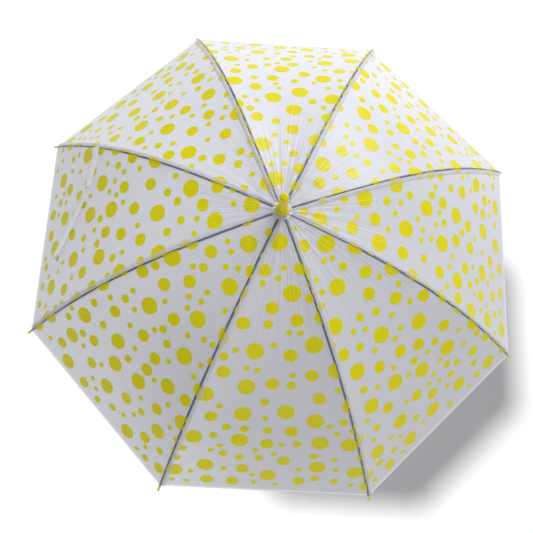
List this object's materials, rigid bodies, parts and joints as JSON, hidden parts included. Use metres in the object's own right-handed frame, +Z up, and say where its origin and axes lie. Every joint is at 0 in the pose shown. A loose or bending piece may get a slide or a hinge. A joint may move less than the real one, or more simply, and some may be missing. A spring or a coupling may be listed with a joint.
{
  "type": "dome umbrella",
  "caption": "Straight stick umbrella with a domed translucent film canopy, folding steel ribs and a crook handle.",
  "frame": {"origin": "on the shaft's axis at the middle of the straight grip, where a hand holds it", "axes": "+Z up the shaft towards the ferrule, +X towards the crook's open side and along rib 1"},
  "size_m": [1.0622, 1.0622, 0.8485],
  "materials": {
    "film": "frosted translucent film printed with lemon yellow spots",
    "yellow_plastic": "glossy moulded lemon yellow",
    "white_plastic": "glossy moulded white",
    "rib_steel": "plated blue-grey spring steel",
    "steel_tube": "plated steel tube"
  },
  "bodies": {
    "shaft": {"shaft_tube": "steel_tube", "top_notch": "white_plastic", "notch_wire": "steel_tube", "stop_ring": "steel_tube", "ferrule": "yellow_plastic", "film_crown": "film", "film_washer": "film", "crook_handle": "yellow_plastic", "crook_cap": "yellow_plastic", "handle_collar": "yellow_plastic"},
    "runner": {"runner": "white_plastic"},
    "button": {"push_button": "white_plastic"},
    "rib_1": {"rib_1": "rib_steel", "rib_tip_1": "yellow_plastic"},
    "stretcher_1": {"stretcher_1": "rib_steel"},
    "fold_1a": {"film_1a": "film"},
    "fold_1b": {"film_1b": "film"},
    "rib_2": {"rib_2": "rib_steel", "rib_tip_2": "yellow_plastic"},
    "stretcher_2": {"stretcher_2": "rib_steel"},
    "fold_2a": {"film_2a": "film"},
    "fold_2b": {"film_2b": "film"},
    "rib_3": {"rib_3": "rib_steel", "rib_tip_3": "yellow_plastic"},
    "stretcher_3": {"stretcher_3": "rib_steel"},
    "fold_3a": {"film_3a": "film"},
    "fold_3b": {"film_3b": "film", "strap": "film", "snap_cap": "white_plastic", "snap_socket": "white_plastic"},
    "rib_4": {"rib_4": "rib_steel", "rib_tip_4": "yellow_plastic"},
    "stretcher_4": {"stretcher_4": "rib_steel"},
    "fold_4a": {"film_4a": "film"},
    "fold_4b": {"film_4b": "film"},
    "rib_5": {"rib_5": "rib_steel", "rib_tip_5": "yellow_plastic"},
    "stretcher_5": {"stretcher_5": "rib_steel"},
    "fold_5a": {"film_5a": "film"},
    "fold_5b": {"film_5b": "film"},
    "rib_6": {"rib_6": "rib_steel", "rib_tip_6": "yellow_plastic"},
    "stretcher_6": {"stretcher_6": "rib_steel"},
    "fold_6a": {"film_6a": "film"},
    "fold_6b": {"film_6b": "film"},
    "rib_7": {"rib_7": "rib_steel", "rib_tip_7": "yellow_plastic"},
    "stretcher_7": {"stretcher_7": "rib_steel"},
    "fold_7a": {"film_7a": "film"},
    "fold_7b": {"film_7b": "film"},
    "rib_8": {"rib_8": "rib_steel", "rib_tip_8": "yellow_plastic"},
    "stretcher_8": {"stretcher_8": "rib_steel"},
    "fold_8a": {"film_8a": "film"},
    "fold_8b": {"film_8b": "film"}
  },
  "joints": [
    {"name": "runner_slide", "type": "slide", "parent": "shaft", "child": "runner", "axis": [0, 0, -1], "range_m": [0, 0.41445]},
    {"name": "button_press", "type": "slide", "parent": "shaft", "child": "button", "axis": [1, 0, 0], "range_m": [0, 0.0018], "stiffness_N_per_m": 900, "springref_m": -0.0006},
    {"name": "rib_1_hinge", "type": "hinge", "parent": "shaft", "child": "rib_1", "pos_m": [0.0085, 0, 0.6845], "axis": [0, 1, 0], "range_deg": [0, 63.43]},
    {"name": "stretcher_1_hinge", "type": "hinge", "parent": "rib_1", "child": "stretcher_1", "pos_m": [0.27205, 0, 0.63297], "axis": [0, 1, 0], "range_deg": [-126.84, 0]},
    {"name": "film_1a_fold", "type": "hinge", "parent": "rib_1", "child": "fold_1a", "pos_m": [0.00867, 0, 0.68699], "axis": [0.9063, 0, -0.4226], "range_deg": [-65.01, 0], "deforming": ["film_1a"]},
    {"name": "film_1b_fold", "type": "hinge", "parent": "rib_1", "child": "fold_1b", "pos_m": [0.00867, 0, 0.68699], "axis": [0.9063, 0, -0.4226], "range_deg": [0, 65.01], "deforming": ["film_1b"]},
    {"name": "rib_2_hinge", "type": "hinge", "parent": "shaft", "child": "rib_2", "pos_m": [0.00601, 0.00601, 0.6845], "axis": [-0.7071, 0.7071, 0], "range_deg": [0, 63.43]},
    {"name": "stretcher_2_hinge", "type": "hinge", "parent": "rib_2", "child": "stretcher_2", "pos_m": [0.19237, 0.19237, 0.63297], "axis": [-0.7071, 0.7071, 0], "range_deg": [-126.84, 0]},
    {"name": "film_2a_fold", "type": "hinge", "parent": "rib_2", "child": "fold_2a", "pos_m": [0.00613, 0.00613, 0.68699], "axis": [0.6409, 0.6409, -0.4226], "range_deg": [-65.01, 0], "deforming": ["film_2a"]},
    {"name": "film_2b_fold", "type": "hinge", "parent": "rib_2", "child": "fold_2b", "pos_m": [0.00613, 0.00613, 0.68699], "axis": [0.6409, 0.6409, -0.4226], "range_deg": [0, 65.01], "deforming": ["film_2b"]},
    {"name": "rib_3_hinge", "type": "hinge", "parent": "shaft", "child": "rib_3", "pos_m": [0, 0.0085, 0.6845], "axis": [-1, 0, 0], "range_deg": [0, 63.43]},
    {"name": "stretcher_3_hinge", "type": "hinge", "parent": "rib_3", "child": "stretcher_3", "pos_m": [0, 0.27205, 0.63297], "axis": [-1, 0, 0], "range_deg": [-126.84, 0]},
    {"name": "film_3a_fold", "type": "hinge", "parent": "rib_3", "child": "fold_3a", "pos_m": [0, 0.00867, 0.68699], "axis": [0, 0.9063, -0.4226], "range_deg": [-65.01, 0], "deforming": ["film_3a"]},
    {"name": "film_3b_fold", "type": "hinge", "parent": "rib_3", "child": "fold_3b", "pos_m": [0, 0.00867, 0.68699], "axis": [0, 0.9063, -0.4226], "range_deg": [0, 65.01], "deforming": ["film_3b", "strap"]},
    {"name": "rib_4_hinge", "type": "hinge", "parent": "shaft", "child": "rib_4", "pos_m": [-0.00601, 0.00601, 0.6845], "axis": [-0.7071, -0.7071, 0], "range_deg": [0, 63.43]},
    {"name": "stretcher_4_hinge", "type": "hinge", "parent": "rib_4", "child": "stretcher_4", "pos_m": [-0.19237, 0.19237, 0.63297], "axis": [-0.7071, -0.7071, 0], "range_deg": [-126.84, 0]},
    {"name": "film_4a_fold", "type": "hinge", "parent": "rib_4", "child": "fold_4a", "pos_m": [-0.00613, 0.00613, 0.68699], "axis": [-0.6409, 0.6409, -0.4226], "range_deg": [-65.01, 0], "deforming": ["film_4a"]},
    {"name": "film_4b_fold", "type": "hinge", "parent": "rib_4", "child": "fold_4b", "pos_m": [-0.00613, 0.00613, 0.68699], "axis": [-0.6409, 0.6409, -0.4226], "range_deg": [0, 65.01], "deforming": ["film_4b"]},
    {"name": "rib_5_hinge", "type": "hinge", "parent": "shaft", "child": "rib_5", "pos_m": [-0.0085, 0, 0.6845], "axis": [0, -1, 0], "range_deg": [0, 63.43]},
    {"name": "stretcher_5_hinge", "type": "hinge", "parent": "rib_5", "child": "stretcher_5", "pos_m": [-0.27205, 0, 0.63297], "axis": [0, -1, 0], "range_deg": [-126.84, 0]},
    {"name": "film_5a_fold", "type": "hinge", "parent": "rib_5", "child": "fold_5a", "pos_m": [-0.00867, 0, 0.68699], "axis": [-0.9063, 0, -0.4226], "range_deg": [-65.01, 0], "deforming": ["film_5a"]},
    {"name": "film_5b_fold", "type": "hinge", "parent": "rib_5", "child": "fold_5b", "pos_m": [-0.00867, 0, 0.68699], "axis": [-0.9063, 0, -0.4226], "range_deg": [0, 65.01], "deforming": ["film_5b"]},
    {"name": "rib_6_hinge", "type": "hinge", "parent": "shaft", "child": "rib_6", "pos_m": [-0.00601, -0.00601, 0.6845], "axis": [0.7071, -0.7071, 0], "range_deg": [0, 63.43]},
    {"name": "stretcher_6_hinge", "type": "hinge", "parent": "rib_6", "child": "stretcher_6", "pos_m": [-0.19237, -0.19237, 0.63297], "axis": [0.7071, -0.7071, 0], "range_deg": [-126.84, 0]},
    {"name": "film_6a_fold", "type": "hinge", "parent": "rib_6", "child": "fold_6a", "pos_m": [-0.00613, -0.00613, 0.68699], "axis": [-0.6409, -0.6409, -0.4226], "range_deg": [-65.01, 0], "deforming": ["film_6a"]},
    {"name": "film_6b_fold", "type": "hinge", "parent": "rib_6", "child": "fold_6b", "pos_m": [-0.00613, -0.00613, 0.68699], "axis": [-0.6409, -0.6409, -0.4226], "range_deg": [0, 65.01], "deforming": ["film_6b"]},
    {"name": "rib_7_hinge", "type": "hinge", "parent": "shaft", "child": "rib_7", "pos_m": [0, -0.0085, 0.6845], "axis": [1, 0, 0], "range_deg": [0, 63.43]},
    {"name": "stretcher_7_hinge", "type": "hinge", "parent": "rib_7", "child": "stretcher_7", "pos_m": [0, -0.27205, 0.63297], "axis": [1, 0, 0], "range_deg": [-126.84, 0]},
    {"name": "film_7a_fold", "type": "hinge", "parent": "rib_7", "child": "fold_7a", "pos_m": [0, -0.00867, 0.68699], "axis": [0, -0.9063, -0.4226], "range_deg": [-65.01, 0], "deforming": ["film_7a"]},
    {"name": "film_7b_fold", "type": "hinge", "parent": "rib_7", "child": "fold_7b", "pos_m": [0, -0.00867, 0.68699], "axis": [0, -0.9063, -0.4226], "range_deg": [0, 65.01], "deforming": ["film_7b"]},
    {"name": "rib_8_hinge", "type": "hinge", "parent": "shaft", "child": "rib_8", "pos_m": [0.00601, -0.00601, 0.6845], "axis": [0.7071, 0.7071, 0], "range_deg": [0, 63.43]},
    {"name": "stretcher_8_hinge", "type": "hinge", "parent": "rib_8", "child": "stretcher_8", "pos_m": [0.19237, -0.19237, 0.63297], "axis": [0.7071, 0.7071, 0], "range_deg": [-126.84, 0]},
    {"name": "film_8a_fold", "type": "hinge", "parent": "rib_8", "child": "fold_8a", "pos_m": [0.00613, -0.00613, 0.68699], "axis": [0.6409, -0.6409, -0.4226], "range_deg": [-65.01, 0], "deforming": ["film_8a"]},
    {"name": "film_8b_fold", "type": "hinge", "parent": "rib_8", "child": "fold_8b", "pos_m": [0.00613, -0.00613, 0.68699], "axis": [0.6409, -0.6409, -0.4226], "range_deg": [0, 65.01], "deforming": ["film_8b"]}
  ],
  "couplings": [
    {"joint": "rib_1_hinge", "follows": "runner_slide", "rad_per_m": 2.6706},
    {"joint": "stretcher_1_hinge", "follows": "runner_slide", "rad_per_m": -5.3412},
    {"joint": "film_1a_fold", "follows": "runner_slide", "rad_per_m": -2.7373},
    {"joint": "film_1b_fold", "follows": "runner_slide", "rad_per_m": 2.7373},
    {"joint": "rib_2_hinge", "follows": "runner_slide", "rad_per_m": 2.6706},
    {"joint": "stretcher_2_hinge", "follows": "runner_slide", "rad_per_m": -5.3412},
    {"joint": "film_2a_fold", "follows": "runner_slide", "rad_per_m": -2.7373},
    {"joint": "film_2b_fold", "follows": "runner_slide", "rad_per_m": 2.7373},
    {"joint": "rib_3_hinge", "follows": "runner_slide", "rad_per_m": 2.6706},
    {"joint": "stretcher_3_hinge", "follows": "runner_slide", "rad_per_m": -5.3412},
    {"joint": "film_3a_fold", "follows": "runner_slide", "rad_per_m": -2.7373},
    {"joint": "film_3b_fold", "follows": "runner_slide", "rad_per_m": 2.7373},
    {"joint": "rib_4_hinge", "follows": "runner_slide", "rad_per_m": 2.6706},
    {"joint": "stretcher_4_hinge", "follows": "runner_slide", "rad_per_m": -5.3412},
    {"joint": "film_4a_fold", "follows": "runner_slide", "rad_per_m": -2.7373},
    {"joint": "film_4b_fold", "follows": "runner_slide", "rad_per_m": 2.7373},
    {"joint": "rib_5_hinge", "follows": "runner_slide", "rad_per_m": 2.6706},
    {"joint": "stretcher_5_hinge", "follows": "runner_slide", "rad_per_m": -5.3412},
    {"joint": "film_5a_fold", "follows": "runner_slide", "rad_per_m": -2.7373},
    {"joint": "film_5b_fold", "follows": "runner_slide", "rad_per_m": 2.7373},
    {"joint": "rib_6_hinge", "follows": "runner_slide", "rad_per_m": 2.6706},
    {"joint": "stretcher_6_hinge", "follows": "runner_slide", "rad_per_m": -5.3412},
    {"joint": "film_6a_fold", "follows": "runner_slide", "rad_per_m": -2.7373},
    {"joint": "film_6b_fold", "follows": "runner_slide", "rad_per_m": 2.7373},
    {"joint": "rib_7_hinge", "follows": "runner_slide", "rad_per_m": 2.6706},
    {"joint": "stretcher_7_hinge", "follows": "runner_slide", "rad_per_m": -5.3412},
    {"joint": "film_7a_fold", "follows": "runner_slide", "rad_per_m": -2.7373},
    {"joint": "film_7b_fold", "follows": "runner_slide", "rad_per_m": 2.7373},
    {"joint": "rib_8_hinge", "follows": "runner_slide", "rad_per_m": 2.6706},
    {"joint": "stretcher_8_hinge", "follows": "runner_slide", "rad_per_m": -5.3412},
    {"joint": "film_8a_fold", "follows": "runner_slide", "rad_per_m": -2.7373},
    {"joint": "film_8b_fold", "follows": "runner_slide", "rad_per_m": 2.7373}
  ]
}
